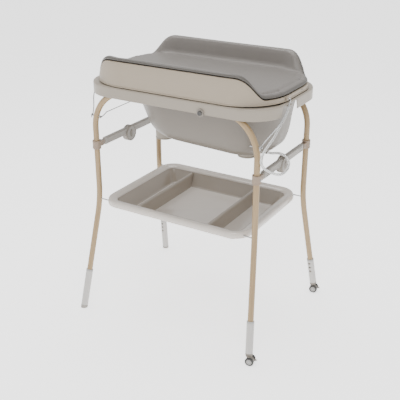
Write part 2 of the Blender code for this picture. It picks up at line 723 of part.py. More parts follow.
# ---- drain hose ---------------------------------------------------------------------------------
HOSE_ROUTE = (
    (0.2776, 0.000, 0.7042), (0.294, 0.000, 0.7042), (0.314, -0.011, 0.712), (0.335, -0.026, 0.720),
    (0.3535, -0.027, 0.718), (0.363, -0.015, 0.703), (0.367, -0.007, 0.682), (0.3675, -0.019, 0.664),
    (0.367, -0.0548, 0.659), (0.366, -0.0925, 0.668), (0.365, -0.1348, 0.6876), (0.3645, -0.1778, 0.711),
    (0.364, -0.2083, 0.732), (0.364, -0.2253, 0.752), (0.364, -0.2263, 0.769), (0.366, -0.2175, 0.7875),
    (0.370, -0.197, 0.804), (0.376, -0.170, 0.824), (0.381, -0.138, 0.852), (0.3825, -0.098, 0.881),
    (0.3825, -0.074, 0.899), (0.3825, -0.067, 0.909),
)


def make_hose():
    """The clear drain hose from the spigot, round one loop, to the clip at the bath's end."""
    points = resample(catmull(HOSE_ROUTE, 12), 2 * 2 * HOSE_R)
    return add_part("drain_hose", curve_mesh("drain_hose", points, HOSE_R, 2), HOSE_CLEAR)


# ---- changing top -------------------------------------------------------------------------------
SLOPE_START = 0.219               # the long walls sink to the ends' height between these distances
SLOPE_FINISH = 0.345
SLOPE_POWER = 1.8                 # over 1 delays the fall, so that the shoulder is rounder than the foot


def wall_top(x, y):
    """Height of the changing top's wall at a place on its outline."""
    t = min(max((abs(x) - SLOPE_START) / (SLOPE_FINISH - SLOPE_START), 0.0), 1.0)
    t = t ** SLOPE_POWER
    ease = t * t * (3 - 2 * t)
    return SHELL_WALL_TOP + (SHELL_END_TOP - SHELL_WALL_TOP) * ease


def shell_ring(inset, height, corner=11):
    """A ring inside the changing top's outline; height is a function of the outline's point."""
    outer = rounded_outline(SHELL_X, SHELL_Y, SHELL_CORNER, corner, 4)
    inner = rounded_outline(SHELL_X - inset, SHELL_Y - inset, max(SHELL_CORNER - inset, 0.05), corner, 4)
    return [(ix, iy, height(ox, oy)) for (ox, oy), (ix, iy) in zip(outer, inner)]


def make_changing_shell():
    """The moulded shell: outer wall, rolled edge, inner wall and floor."""
    floor = SHELL_FLOOR
    rings = [
        shell_ring(0.0, lambda x, y: SHELL_BOTTOM),
        shell_ring(0.0, lambda x, y: wall_top(x, y) - 0.003),
        shell_ring(0.003, wall_top),
        shell_ring(0.008, wall_top),
        shell_ring(0.0115, lambda x, y: wall_top(x, y) - 0.0025),
        shell_ring(0.022, lambda x, y: min(floor + 0.016, wall_top(x, y) - 0.0028)),
        shell_ring(0.040, lambda x, y: floor),
    ]
    sheet = loft_mesh("changing_shell", rings, close_first=False)
    shell = add_part("changing_shell", sheet, SHELL_BEIGE, 40.0)
    solid = shell.modifiers.new("wall", "SOLIDIFY")
    solid.thickness = 0.0022
    solid.offset = -1.0
    return shell


def make_mat():
    """The padded mat, rolled over the shell's walls."""
    floor = SHELL_FLOOR

    def above(rise):
        return lambda x, y: wall_top(x, y) + rise

    def inside(x, y):
        return min(floor + 0.0240, wall_top(x, y) + 0.0035)

    rings = [
        shell_ring(0.043, lambda x, y: floor + 0.0016),
        shell_ring(0.0270, inside),
        shell_ring(0.0165, above(0.0035)),
        shell_ring(0.0020, above(0.0027)),
        shell_ring(-0.001, above(0.0065)),
        shell_ring(0.0010, above(0.0125)),
        shell_ring(0.0090, above(0.0180)),
        shell_ring(0.0190, above(0.0165)),
        shell_ring(0.0310, lambda x, y: max(above(0.0)(x, y) - 0.006, 0.968)),
        shell_ring(0.0450, lambda x, y: 0.966),
    ]
    return add_part("changing_mat", loft_mesh("changing_mat", rings), MAT_GREY, 50.0)


ARM_TOP_Y = -0.078
ARM_TOP_Z = 0.9405
ARM_X = 0.3915


def make_swing_arms():
    """Wires from the front bolts to the changing top, with hooks open downward."""
    arms = []
    for side, sx in SIDES:
        hook_x = BOLT_X + TUBE_R + 0.0075
        loop = BOLT_R + WIRE_R + 0.0007
        path = [Vector((hook_x, -LEG_Y - loop, BOLT_Z - 0.008))]
        for i in range(5):
            a = math.radians(180 - 30 * i)
            path.append(Vector((hook_x, -LEG_Y + loop * math.cos(a), BOLT_Z + loop * math.sin(a))))
        route = (path[-1], Vector((0.3630, -0.184, 0.828)), Vector((0.3830, -0.156, 0.860)),
                 Vector((ARM_X, -0.124, 0.890)), Vector((ARM_X, -0.096, 0.914)),
                 Vector((ARM_X, -0.081, 0.930)), Vector((ARM_X, ARM_TOP_Y, ARM_TOP_Z - 0.004)))
        path += catmull(route, 3)[1:]
        path += [Vector((ARM_X - 0.0015, ARM_TOP_Y, ARM_TOP_Z - 0.0008)),
                 Vector((ARM_X - 0.005, ARM_TOP_Y, ARM_TOP_Z)),
                 Vector((SHELL_X + 0.0015, ARM_TOP_Y, ARM_TOP_Z))]
        name = f"swing_arm_{side}"
        points = [Vector((sx * p.x, p.y, p.z)) for p in path]
        arms.append(add_part(name, curve_mesh(name, points, WIRE_R, 2), STEEL))
    hang(body_empty("swing_arms_axis", (0, -LEG_Y, BOLT_Z)), *arms)


def make_arm_clips():
    """The eyes on the changing top's ends that the wires turn in."""
    clips = []
    for side, sx in SIDES:
        name = f"arm_clip_{side}"
        x = sorted((sx * (SHELL_X + GAP), sx * (SHELL_X + 0.0058)))
        clip = add_part(name, box_mesh(name, (x[0], ARM_TOP_Y - 0.008, ARM_TOP_Z - 0.006),
                                       (x[1], ARM_TOP_Y + 0.008, ARM_TOP_Z + 0.006)), SHELL_BEIGE)
        boolean(clip, cylinder_mesh("clip_bore", (-0.5, ARM_TOP_Y, ARM_TOP_Z), (0.5, ARM_TOP_Y, ARM_TOP_Z),
                                    WIRE_R + GAP, 16))
        clips.append(clip)
    return clips


def make_stay_rod():
    """The wire stay between the two left bolts, with a hook open upward at its front end."""
    x = -(BOLT_X - TUBE_R - 0.0065)
    loop = BOLT_R + WIRE_R + 0.0007
    path = []
    for i in range(10):
        a = math.radians(90 - 30 * i)
        path.append(Vector((x, LEG_Y + loop * math.cos(a), BOLT_Z + loop * math.sin(a))))
    path += [Vector((x, LEG_Y - loop - 0.012, BOLT_Z + 0.006)), Vector((x, 0.0, BOLT_Z + 0.009)),
             Vector((x, -LEG_Y + 0.040, BOLT_Z + 0.007)), Vector((x, -LEG_Y + 0.020, BOLT_Z - 0.001))]
    for i in range(5):
        a = math.radians(-60 - 30 * i)
        path.append(Vector((x, -LEG_Y + loop * math.cos(a), BOLT_Z + loop * math.sin(a))))
    path.append(Vector((x, -LEG_Y - loop, BOLT_Z + 0.004)))
    rod = add_part("stay_rod", curve_mesh("stay_rod", path, WIRE_R - 0.0003, 2), STEEL)
    hang(body_empty("stay_rod_axis", (x, LEG_Y, BOLT_Z)), rod)


# ---- tray ---------------------------------------------------------------------------------------
def make_tray():
    """The moulded tray with a rolled rim, two dividers and ribs that hook over the rods."""
    rolls = ((0.0008, -0.0230), (0.0, -0.0150), (0.0020, -0.0060), (0.0060, -0.0012), (0.0115, 0.0000),
             (0.0190, -0.0012), (0.0290, -0.0045), (0.0365, -0.0090), (0.0410, -0.0180), (0.0640, -0.0540),
             (0.0700, -0.0610), (0.0800, -0.0640))
    rings = []
    for inset, drop in rolls:
        outline = rounded_outline(TRAY_X - inset, TRAY_Y - inset, max(TRAY_CORNER - inset, 0.022), 6, 2)
        rings.append([(x, y, TRAY_TOP + drop) for x, y in outline])
    tray = add_part("storage_tray", loft_mesh("storage_tray", rings, close_first=False), TRAY_GREY, 35.0)
    solid = tray.modifiers.new("wall", "SOLIDIFY")
    solid.thickness = TRAY_WALL
    solid.offset = -1.0
    floor_z = TRAY_TOP - 0.064
    for x in (-0.165, 0.143):
        foot = rounded_outline(0.0160, 0.170, 0.004, 1, 1, x)
        head = rounded_outline(0.0040, 0.2010, 0.003, 1, 1, x)
        divider = [[(px, py, floor_z - 0.001) for px, py in foot],
                   [(px, py, TRAY_TOP - 0.012) for px, py in head]]
        boolean(tray, loft_mesh("divider", divider), "UNION")
    for sy in (-1, 1):
        for x in (-0.20, -0.07, 0.07, 0.20):
            y = sorted((sy * (TRAY_Y - 0.0335), sy * (ROD_Y + 0.006)))
            rib = box_mesh("rib", (x - 0.002, y[0], ROD_Z - 0.006), (x + 0.002, y[1], TRAY_TOP - 0.008))
            boolean(tray, rib, "UNION")
        seat_low = (-0.33, sy * ROD_Y, ROD_Z)
        seat_high = (0.33, sy * ROD_Y, ROD_Z)
        boolean(tray, cylinder_mesh("rod_seat", seat_low, seat_high, ROD_R + GAP, 12))
        boolean(tray, box_mesh("rod_mouth", (-0.33, sy * ROD_Y - ROD_R - GAP, ROD_Z - 0.03),
                               (0.33, sy * ROD_Y + ROD_R + GAP, ROD_Z)))
    hang(body_empty("tray_axis", (0, ROD_Y, ROD_Z)), tray)


def make_hose_clip():
    """The clip on the bath's right end that holds the hose's top."""
    x_in = 0.3765
    block = box_mesh("hose_clip", (x_in, -0.080, 0.9125), (0.3884, -0.054, 0.9175))
    clip = add_part("hose_clip", block, BATH_GREY)
    bevel(clip, 0.0012, 2)
    return clip


def main():
    """Build every piece."""
    make_legs()
    make_tray_rods()
    make_collars()
    make_struts()
    make_bolts()
    make_sleeves()
    make_foot_caps()
    for end, sy in ENDS:
        make_caster(end, sy)
    bath = [make_bath_tub()]
    bath += make_bath_fittings()
    bath += [make_hose(), make_hose_clip()]
    hang(body_empty("bath_axis", (0, 0, RIM_TOP)), *bath)
    make_swing_arms()
    hang(body_empty("changing_top_axis", (0, ARM_TOP_Y, ARM_TOP_Z)), make_changing_shell(), make_mat(),
         *make_arm_clips())
    make_stay_rod()
    make_tray()


main()
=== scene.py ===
"""The looks of the changing table: fine surfaces, finishes, mat, hose, light and camera.

Metres, +Z up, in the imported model's own frame: X runs along the table and -Y is the near side.
"""

import json
import math

import bmesh
import bpy
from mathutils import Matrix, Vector


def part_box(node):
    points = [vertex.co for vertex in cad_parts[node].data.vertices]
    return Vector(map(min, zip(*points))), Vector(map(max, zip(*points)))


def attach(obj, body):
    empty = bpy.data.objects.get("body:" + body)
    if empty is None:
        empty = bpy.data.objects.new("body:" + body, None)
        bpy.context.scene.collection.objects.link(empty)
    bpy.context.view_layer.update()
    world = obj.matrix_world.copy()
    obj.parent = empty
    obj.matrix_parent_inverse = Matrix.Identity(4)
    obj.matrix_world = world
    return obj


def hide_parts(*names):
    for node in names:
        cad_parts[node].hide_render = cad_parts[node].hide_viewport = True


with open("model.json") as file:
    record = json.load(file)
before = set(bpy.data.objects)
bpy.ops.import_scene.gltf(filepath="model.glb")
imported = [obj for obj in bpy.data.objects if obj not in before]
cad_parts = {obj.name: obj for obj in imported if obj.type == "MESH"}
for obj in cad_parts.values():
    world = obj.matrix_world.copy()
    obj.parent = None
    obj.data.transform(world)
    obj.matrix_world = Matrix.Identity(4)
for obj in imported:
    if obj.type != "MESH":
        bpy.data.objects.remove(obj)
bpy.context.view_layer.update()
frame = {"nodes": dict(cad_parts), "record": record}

SIDES = (("left", -1), ("right", 1))
ENDS = (("front", -1), ("rear", 1))
FRAME_BODY = {"front": "front_frame", "rear": "root"}


def size_of(node):
    """Width, depth and height of a node of the frame."""
    low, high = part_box(node)
    return high - low


def middle_of(node):
    """Centre of a node's box."""
    low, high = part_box(node)
    return (low + high) / 2


# ---- sizes ------------------------------------------------------------------------------------
TUBE_R = size_of("front_top_bar").z / 2
TOP_BAR_Z = middle_of("front_top_bar").z
LEG_X = middle_of("front_collar_right").x
LEG_Y = middle_of("rear_top_bar").y
COLLAR_Z = middle_of("front_collar_right").z
KNEE_Z = 0.460                    # where the legs start to splay, and how far their feet stand out
KNEE_BLEND = 0.060
FOOT_X = 0.380
FOOT_Y = 0.304
BEND_R = 0.150
LEG_END_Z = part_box("front_leg_left")[0].z + 0.0025
SLEEVE_TOP = 0.163
HOLE_PITCH = 0.020
SLEEVE_R = 0.0138
PIVOT_Y = 0.178
STRUT_H = 0.027
STRUT_W = 0.018
DISC_R = 0.0315
DISC_W = 0.0115
CENTRE_Z = COLLAR_Z - STRUT_H / 2

RIM_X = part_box("bath_tub")[1].x
RIM_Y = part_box("bath_tub")[1].y
RIM_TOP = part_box("bath_tub")[1].z
RIM_CORNER = 0.125
RIM_ROLL = 0.006
SKIRT_BOTTOM = 0.886
NOTCH = (-0.124, -0.004)          # the skirt is cut away between these at both ends
BATH_WALL = 0.0035
BATH_FLOOR = 0.717

SHELL_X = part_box("changing_shell")[1].x
SHELL_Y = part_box("changing_shell")[1].y
SHELL_CORNER = 0.165
SHELL_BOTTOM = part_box("changing_shell")[0].z
SHELL_WALL_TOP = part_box("changing_shell")[1].z
SHELL_END_TOP = 0.9475
SHELL_FLOOR = 0.9445
BEAD_H = 0.005
SLOPE_START = 0.219               # the long walls sink to the ends' height between these distances
SLOPE_FINISH = 0.345
SLOPE_POWER = 2.2

TRAY_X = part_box("storage_tray")[1].x
TRAY_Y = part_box("storage_tray")[1].y
TRAY_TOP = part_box("storage_tray")[1].z
TRAY_CORNER = 0.070
TRAY_WALL = 0.0025

HOSE_R = 0.0045
WHEEL_R = size_of("front_caster_wheel_outer").z / 2
WHEEL_W = 0.009
HUB_R = 0.0106
AXLE_TURN = math.radians(100.0)

MAT_VOXEL = 0.0045
MAT_CAP = 0.0035                  # how far a point of the mat may swell
SHADE_BAND_WIDTH = 0.0150               # width of the painted shade on the mat's outer roll, and how softly it ends
SHADE_BAND_FADE = 0.0060

HOSE_ROUTE = (
    (0.2776, 0.000, 0.7042), (0.294, 0.000, 0.7042), (0.314, -0.011, 0.712), (0.335, -0.026, 0.720),
    (0.3535, -0.027, 0.718), (0.363, -0.015, 0.703), (0.367, -0.007, 0.682), (0.3675, -0.019, 0.664),
    (0.367, -0.0548, 0.659), (0.366, -0.0925, 0.668), (0.365, -0.1348, 0.6876), (0.3645, -0.1778, 0.711),
    (0.364, -0.2083, 0.732), (0.364, -0.2253, 0.752), (0.364, -0.2263, 0.769), (0.366, -0.2175, 0.7875),
    (0.370, -0.197, 0.804), (0.376, -0.170, 0.824), (0.381, -0.138, 0.852), (0.3825, -0.098, 0.881),
    (0.3825, -0.074, 0.899), (0.3825, -0.067, 0.909),
)


# ---- camera -----------------------------------------------------------------------------------
def make_camera():
    """A long lens at the height of a person standing off the near right corner."""
    data = bpy.data.cameras.new("camera")
    data.lens = 64.889
    data.sensor_width = 36.0
    camera = bpy.data.objects.new("camera", data)
    bpy.context.scene.collection.objects.link(camera)
    camera.location = (1.3285, -2.2278, 1.6178)
    camera.rotation_euler = (math.radians(90 - 24.220), 0.0, math.radians(30.941))
    bpy.context.scene.camera = camera


# ---- shapes -----------------------------------------------------------------------------------
def catmull(rows, per_span):
    """Rows of numbers read from a smooth curve through the given rows."""
    rows = [tuple(row) for row in rows]
    before = tuple(2 * a - b for a, b in zip(rows[0], rows[1]))
    after = tuple(2 * a - b for a, b in zip(rows[-1], rows[-2]))
    padded = [before] + rows + [after]
    smooth = []
    for spans in zip(padded, padded[1:], padded[2:], padded[3:]):
        for step in range(per_span):
            t = step / per_span
            smooth.append(tuple(
                0.5 * (2 * b + (c - a) * t + (2 * a - 5 * b + 4 * c - d) * t ** 2
                       + (3 * b - a - 3 * c + d) * t ** 3) for a, b, c, d in zip(*spans)))
    smooth.append(rows[-1])
    return smooth


def outline(half_x, half_y, radius, middle_x=0.0, corner_steps=16, along_x=24, along_y=16):
    """A rounded rectangle, anticlockwise from its +X side."""
    points = []
    corners = ((1, 1, 0, along_x), (-1, 1, 90, along_y), (-1, -1, 180, along_x), (1, -1, 270, along_y))
    for sign_x, sign_y, start, side_steps in corners:
        cx = middle_x + sign_x * (half_x - radius)
        cy = sign_y * (half_y - radius)
        for i in range(corner_steps + 1):
            a = math.radians(start + 90 * i / corner_steps)
            points.append((cx + radius * math.cos(a), cy + radius * math.sin(a)))
        next_a = math.radians(start + 90)
        first = points[-1]
        turn = {0: (-1, 1), 90: (-1, -1), 180: (1, -1), 270: (1, 1)}[start]
        last = (middle_x + turn[0] * (half_x - radius) + radius * math.cos(next_a),
                turn[1] * (half_y - radius) + radius * math.sin(next_a))
        for k in range(1, side_steps):
            t = k / side_steps
            points.append((first[0] + (last[0] - first[0]) * t, first[1] + (last[1] - first[1]) * t))
    return points


def add_object(name, mesh, material, body, smooth_angle=35.0):
    """A piece of the object, shaded smooth and riding on a body."""
    obj = bpy.data.objects.new(name, mesh)
    bpy.context.scene.collection.objects.link(obj)
    mesh.materials.clear()
    mesh.materials.append(material)
    mesh.shade_smooth()
    mesh.set_sharp_from_angle(angle=math.radians(smooth_angle))
    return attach(obj, body)


def loft(name, rings, material, body, close_first=True, close_last=True, ring_closed=False,
         smooth_angle=35.0):
    """Skin between rings of equal point counts."""
    bm = bmesh.new()
    rows = [[bm.verts.new(point) for point in ring] for ring in rings]
    if ring_closed:
        rows.append(rows[0])
    count = len(rings[0])
    for row, following in zip(rows, rows[1:]):
        for i in range(count):
            j = (i + 1) % count
            bm.faces.new((row[i], row[j], following[j], following[i]))
    if close_first and not ring_closed:
        bm.faces.new(rows[0])
    if close_last and not ring_closed:
        bm.faces.new(rows[-1])
    bmesh.ops.recalc_face_normals(bm, faces=bm.faces)
    mesh = bpy.data.meshes.new(name)
    bm.to_mesh(mesh)
    bm.free()
    return add_object(name, mesh, material, body, smooth_angle)


def turned(name, centre, axis, profile, material, body, segments=40, ring_closed=False, smooth_angle=35.0):
    """A shape turned about an axis; profile holds (distance along the axis, radius)."""
    axis = Vector(axis).normalized()
    side = axis.orthogonal().normalized()
    up = axis.cross(side)
    centre = Vector(centre)
    rings = []
    for along, radius in profile:
        rings.append([centre + axis * along
                      + (side * math.cos(2 * math.pi * i / segments)
                         + up * math.sin(2 * math.pi * i / segments)) * radius for i in range(segments)])
    return loft(name, rings, material, body, ring_closed=ring_closed, smooth_angle=smooth_angle)


def thicken(obj, thickness):
    """Give an open sheet its wall, behind its face."""
    solid = obj.modifiers.new("wall", "SOLIDIFY")
    solid.thickness = thickness
    solid.offset = -1.0
    return obj


def tube(name, points, radius, material, body, sides=28):
    """A round tube along points, with the grain's coordinates stored on it."""
    points = [Vector(p) for p in points]
    tangents = []
    for i in range(len(points)):
        before = points[max(i - 1, 0)]
        after = points[min(i + 1, len(points) - 1)]
        tangents.append((after - before).normalized())
    side = tangents[0].orthogonal().normalized()
    rings = []
    grain = []
    run = 0.0
    for i, (point, tangent) in enumerate(zip(points, tangents)):
        side = (side - tangent * side.dot(tangent)).normalized()
        up = tangent.cross(side)
        if i:
            run += (point - points[i - 1]).length
        ring = []
        for k in range(sides):
            a = 2 * math.pi * k / sides
            ring.append(point + (side * math.cos(a) + up * math.sin(a)) * radius)
            grain.append((radius * math.cos(a), radius * math.sin(a), run))
        rings.append(ring)
    obj = loft(name, rings, material, body)
    attribute = obj.data.attributes.new("grain", "FLOAT_VECTOR", "POINT")
    attribute.data.foreach_set("vector", [value for row in grain for value in row])
    return obj


# ---- finishes ---------------------------------------------------------------------------------
def linear(rgb):
    """A colour of 0 to 255 as the shader's linear numbers."""
    return [((c / 255 + 0.055) / 1.055) ** 2.4 for c in rgb]


def finish(name, rgb, roughness, mottle=0.05, mottle_size=0.030, grain_size=0.0007, grain_depth=0.00004,
           rough_spread=0.05, metallic=0.0, coat=0.0, sheen=0.0, transmission=0.0, attribute=None,
           stretch=(1.0, 1.0, 1.0), cells=False, wave_depth=0.0, shade=None):
    """A procedural material: mottled colour, uneven gloss and a moulded, woven or leathery grain, with an
    optional painted shade mixed in by an attribute.
    """
    material = bpy.data.materials.new(name)
    material.use_nodes = True
    nodes = material.node_tree.nodes
    links = material.node_tree.links
    shader = nodes["Principled BSDF"]
    shader.inputs["Metallic"].default_value = metallic
    shader.inputs["Coat Weight"].default_value = coat
    shader.inputs["Coat Roughness"].default_value = 0.12
    shader.inputs["Sheen Weight"].default_value = sheen
    shader.inputs["Sheen Roughness"].default_value = 0.45
    shader.inputs["Transmission Weight"].default_value = transmission

    if attribute:
        place = nodes.new("ShaderNodeAttribute")
        place.attribute_name = attribute
        where = place.outputs["Vector"]
    else:
        place = nodes.new("ShaderNodeTexCoord")
        where = place.outputs["Object"]
    scaled = nodes.new("ShaderNodeVectorMath")
    scaled.operation = "MULTIPLY"
    scaled.inputs[1].default_value = stretch
    links.new(where, scaled.inputs[0])

    broad = nodes.new("ShaderNodeTexNoise")
    broad.inputs["Scale"].default_value = 1 / mottle_size
    broad.inputs["Detail"].default_value = 4.0
    links.new(scaled.outputs[0], broad.inputs["Vector"])

    tint = nodes.new("ShaderNodeValToRGB")
    base = linear(rgb)
    tint.color_ramp.elements[0].position = 0.30
    tint.color_ramp.elements[1].position = 0.70
    tint.color_ramp.elements[0].color = (*[c * (1 - mottle) for c in base], 1.0)
    tint.color_ramp.elements[1].color = (*[min(c * (1 + mottle), 1.0) for c in base], 1.0)
    links.new(broad.outputs["Fac"], tint.inputs["Fac"])
    # a darker colour mixed in where the named attribute is high: painted shade
    if shade:
        shade_name, dark = shade
        amount = nodes.new("ShaderNodeAttribute")
        amount.attribute_name = shade_name
        darker = nodes.new("ShaderNodeMix")
        darker.data_type = "RGBA"
        darker.inputs["B"].default_value = (*linear(dark), 1.0)
        links.new(amount.outputs["Fac"], darker.inputs["Factor"])
        links.new(tint.outputs["Color"], darker.inputs["A"])
        links.new(darker.outputs["Result"], shader.inputs["Base Color"])
    else:
        links.new(tint.outputs["Color"], shader.inputs["Base Color"])

    gloss = nodes.new("ShaderNodeMapRange")
    gloss.inputs["From Min"].default_value = 0.25
    gloss.inputs["From Max"].default_value = 0.75
    gloss.inputs["To Min"].default_value = max(roughness - rough_spread, 0.03)
    gloss.inputs["To Max"].default_value = roughness + rough_spread
    links.new(broad.outputs["Fac"], gloss.inputs["Value"])
    links.new(gloss.outputs["Result"], shader.inputs["Roughness"])

    fine = nodes.new("ShaderNodeTexVoronoi" if cells else "ShaderNodeTexNoise")
    fine.inputs["Scale"].default_value = 1 / grain_size
    links.new(scaled.outputs[0], fine.inputs["Vector"])
    grain = nodes.new("ShaderNodeBump")
    grain.inputs["Strength"].default_value = 0.6
    grain.inputs["Distance"].default_value = grain_depth
    links.new(fine.outputs["Distance" if cells else "Fac"], grain.inputs["Height"])
    if wave_depth:
        wave = nodes.new("ShaderNodeBump")
        wave.inputs["Strength"].default_value = 1.0
        wave.inputs["Distance"].default_value = wave_depth
        links.new(broad.outputs["Fac"], wave.inputs["Height"])
        links.new(wave.outputs["Normal"], grain.inputs["Normal"])
    links.new(grain.outputs["Normal"], shader.inputs["Normal"])
    return material


WOOD_LOOK = finish("wood_look_coating", (152, 128, 93), 0.44, mottle=0.12, mottle_size=0.0045,
                   grain_size=0.0016, grain_depth=0.00010, attribute="grain", stretch=(1.0, 1.0, 0.035))
SLEEVE = finish("sleeve_coating", (182, 179, 175), 0.38, mottle=0.02, grain_size=0.0005)
FITTING = finish("fitting_plastic", (128, 121, 112), 0.50, mottle=0.04, grain_depth=0.00008)
COLLAR = finish("collar_plastic", (140, 122, 105), 0.46, mottle=0.03, grain_depth=0.00006)
SHELL = finish("shell_plastic", (148, 136, 119), 0.46, mottle=0.02, mottle_size=0.08, grain_depth=0.00006)
BATH = finish("bath_plastic", (143, 134, 121), 0.34, mottle=0.02, mottle_size=0.10, grain_depth=0.00003)
# a darker copy of the bath plastic for the basin below the rim: painted shade on a one-colour moulding
BASIN_PAINTED_SHADE = finish("basin_painted_shade", (109, 102, 93), 0.36, mottle=0.02, mottle_size=0.10, grain_depth=0.00003)
STRUT = finish("strut_plastic", (148, 143, 136), 0.46, mottle=0.03, grain_depth=0.00006)
# the edge attribute mixes a darker colour into the mat's outer roll: painted shade
MAT = finish("mat_vinyl", (104, 99, 94), 0.42, mottle=0.03, mottle_size=0.05, grain_size=0.0011,
             grain_depth=0.00012, sheen=0.10, cells=True, shade=("edge", (76, 72, 67)))
TRAY = finish("tray_plastic", (197, 189, 180), 0.13, mottle=0.015, mottle_size=0.09, grain_depth=0.00001,
              rough_spread=0.03, coat=0.35, wave_depth=0.0010)
# a darker copy of the tray plastic for its inner walls and dividers: painted shade
TRAY_SHADED_WALLS = finish("tray_painted_shade_walls", (154, 144, 132), 0.15, mottle=0.015, mottle_size=0.09,
                   grain_depth=0.00001, rough_spread=0.03, coat=0.35, wave_depth=0.0010)
STEEL = finish("zinc_steel", (176, 176, 176), 0.30, mottle=0.08, mottle_size=0.006, metallic=1.0,
               grain_depth=0.00004)
HOSE = finish("clear_vinyl", (226, 226, 224), 0.22, mottle=0.02, grain_depth=0.00002, transmission=0.55)
RUBBER = finish("dark_rubber", (74, 73, 72), 0.62, mottle=0.08, grain_depth=0.00012)
TYRE = finish("tyre_rubber", (58, 57, 55), 0.55, mottle=0.08, grain_depth=0.00010)
HUB = finish("hub_plastic", (164, 163, 160), 0.36, mottle=0.02)
# painted shadow for holes, dimples and slots
SHADOW = finish("painted_recess_shadow", (44, 42, 40), 0.70, mottle=0.05)

SLOT_FINISH = {"tube": WOOD_LOOK, "sleeve": SLEEVE, "fitting": FITTING, "shell": SHELL, "bath": BATH,
               "mat": MAT, "tray": TRAY, "steel": STEEL, "hose": HOSE, "rubber": RUBBER, "tyre": TYRE}
NODE_FINISH = (("_collar_", COLLAR), ("snap_button", RUBBER), ("_strut", STRUT), ("_foot_cap", STRUT),
               ("lock_knob", RUBBER), ("knob_plate", FITTING))


def dress_frame():
    """Give each node of the frame the finish of its slot, and smooth shading."""
    for part in frame["record"]["subparts"]:
        node = frame["nodes"][part["node"]]
        mesh = node.data
        mesh.materials.clear()
        finishes = [look for ending, look in NODE_FINISH if ending in part["node"]]
        mesh.materials.append(finishes[0] if finishes else SLOT_FINISH[part["material_slot"]])
        mesh.shade_smooth()
        mesh.set_sharp_from_angle(angle=math.radians(32))


# ---- hose -------------------------------------------------------------------------------------
def make_hose():
    """The clear drain hose: out of the bath's spigot, round one loop and up to its clip."""
    points = catmull(HOSE_ROUTE, 6)
    data = bpy.data.curves.new("drain_hose_run", "CURVE")
    data.dimensions = "3D"
    data.bevel_depth = HOSE_R
    data.bevel_resolution = 6
    data.use_fill_caps = True
    spline = data.splines.new("POLY")
    spline.points.add(len(points) - 1)
    for slot, point in zip(spline.points, points):
        slot.co = (*point, 1.0)
    spline.use_smooth = True
    hose = bpy.data.objects.new("drain_hose_run", data)
    bpy.context.scene.collection.objects.link(hose)
    data.materials.append(HOSE)
    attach(hose, "bath")
    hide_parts("drain_hose")


# ---- folding frame ----------------------------------------------------------------------------
def leg_centre(z, sx, sy):
    """The centre line of a leg below its top bend."""
    drop = KNEE_Z - z
    if drop >= KNEE_BLEND:
        bow = drop
    elif drop <= -KNEE_BLEND:
        bow = 0.0
    else:
        bow = (drop + KNEE_BLEND) ** 2 / (4 * KNEE_BLEND)
    return Vector((sx * (LEG_X + (FOOT_X - LEG_X) * bow / KNEE_Z),
                   sy * (LEG_Y + (FOOT_Y - LEG_Y) * bow / KNEE_Z), z))


def leg_axis(sx, sy):
    """Unit vector up along the splayed lower leg."""
    return (leg_centre(0.3, sx, sy) - leg_centre(0.0, sx, sy)).normalized()


def half_frame_path(sx, sy):
    """One leg from its lower end to the middle of the top bar."""
    straight = KNEE_Z - KNEE_BLEND
    points = [leg_centre(LEG_END_Z + (straight - LEG_END_Z) * i / 10, sx, sy) for i in range(10)]
    points += [leg_centre(straight + KNEE_BLEND * 2 * i / 16, sx, sy) for i in range(17)]
    bend_z = TOP_BAR_Z - BEND_R
    points += [leg_centre(straight + 2 * KNEE_BLEND + (bend_z - straight - 2 * KNEE_BLEND) * i / 6, sx, sy)
               for i in range(1, 6)]
    for i in range(25):
        a = math.radians(90 * i / 24)
        points.append(Vector((sx * (LEG_X - BEND_R + BEND_R * math.cos(a)), sy * LEG_Y,
                              bend_z + BEND_R * math.sin(a))))
    return points


def make_bent_frames():
    """Each bent tube, from foot to foot in one piece."""
    for end, sy in ENDS:
        left = half_frame_path(-1, sy)
        right = half_frame_path(1, sy)
        path = left + [Vector((0.0, sy * LEG_Y, TOP_BAR_Z))] + right[::-1]
        frame_tube = tube(f"{end}_bent_tube", path, TUBE_R, WOOD_LOOK, FRAME_BODY[end])
        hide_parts(f"{end}_leg_left", f"{end}_leg_right", f"{end}_top_bar")


def make_collar_details():
    """Bands round each collar and the screws in its back."""
    for end, sy in ENDS:
        for side, sx in SIDES:
            centre = Vector((sx * LEG_X, sy * LEG_Y, COLLAR_Z))
            half = size_of(f"{end}_collar_{side}").z / 2
            outer = size_of(f"{end}_collar_{side}").x / 2
            for label, z in (("low", -half + 0.004), ("high", half - 0.004)):
                profile = ((-0.0022, outer - 0.001), (-0.0018, outer + 0.0002), (-0.0008, outer + 0.0006),
                           (0.0008, outer + 0.0006), (0.0018, outer + 0.0002), (0.0022, outer - 0.001))
                ring = turned(f"{end}_collar_band_{side}_{label}", centre + Vector((0, 0, z)), (0, 0, 1),
                              profile, COLLAR, FRAME_BODY[end], ring_closed=True)
            screw_place = centre + Vector((sx * (outer - 0.0004), 0, 0))
            profile = ((0.0, 0.0042), (0.0010, 0.0042), (0.0014, 0.0036), (0.0014, 0.0020), (0.0006, 0.0016))
            screw = turned(f"{end}_collar_screw_{side}", screw_place, (sx, 0, 0), profile, STEEL,
                           FRAME_BODY[end], 24)


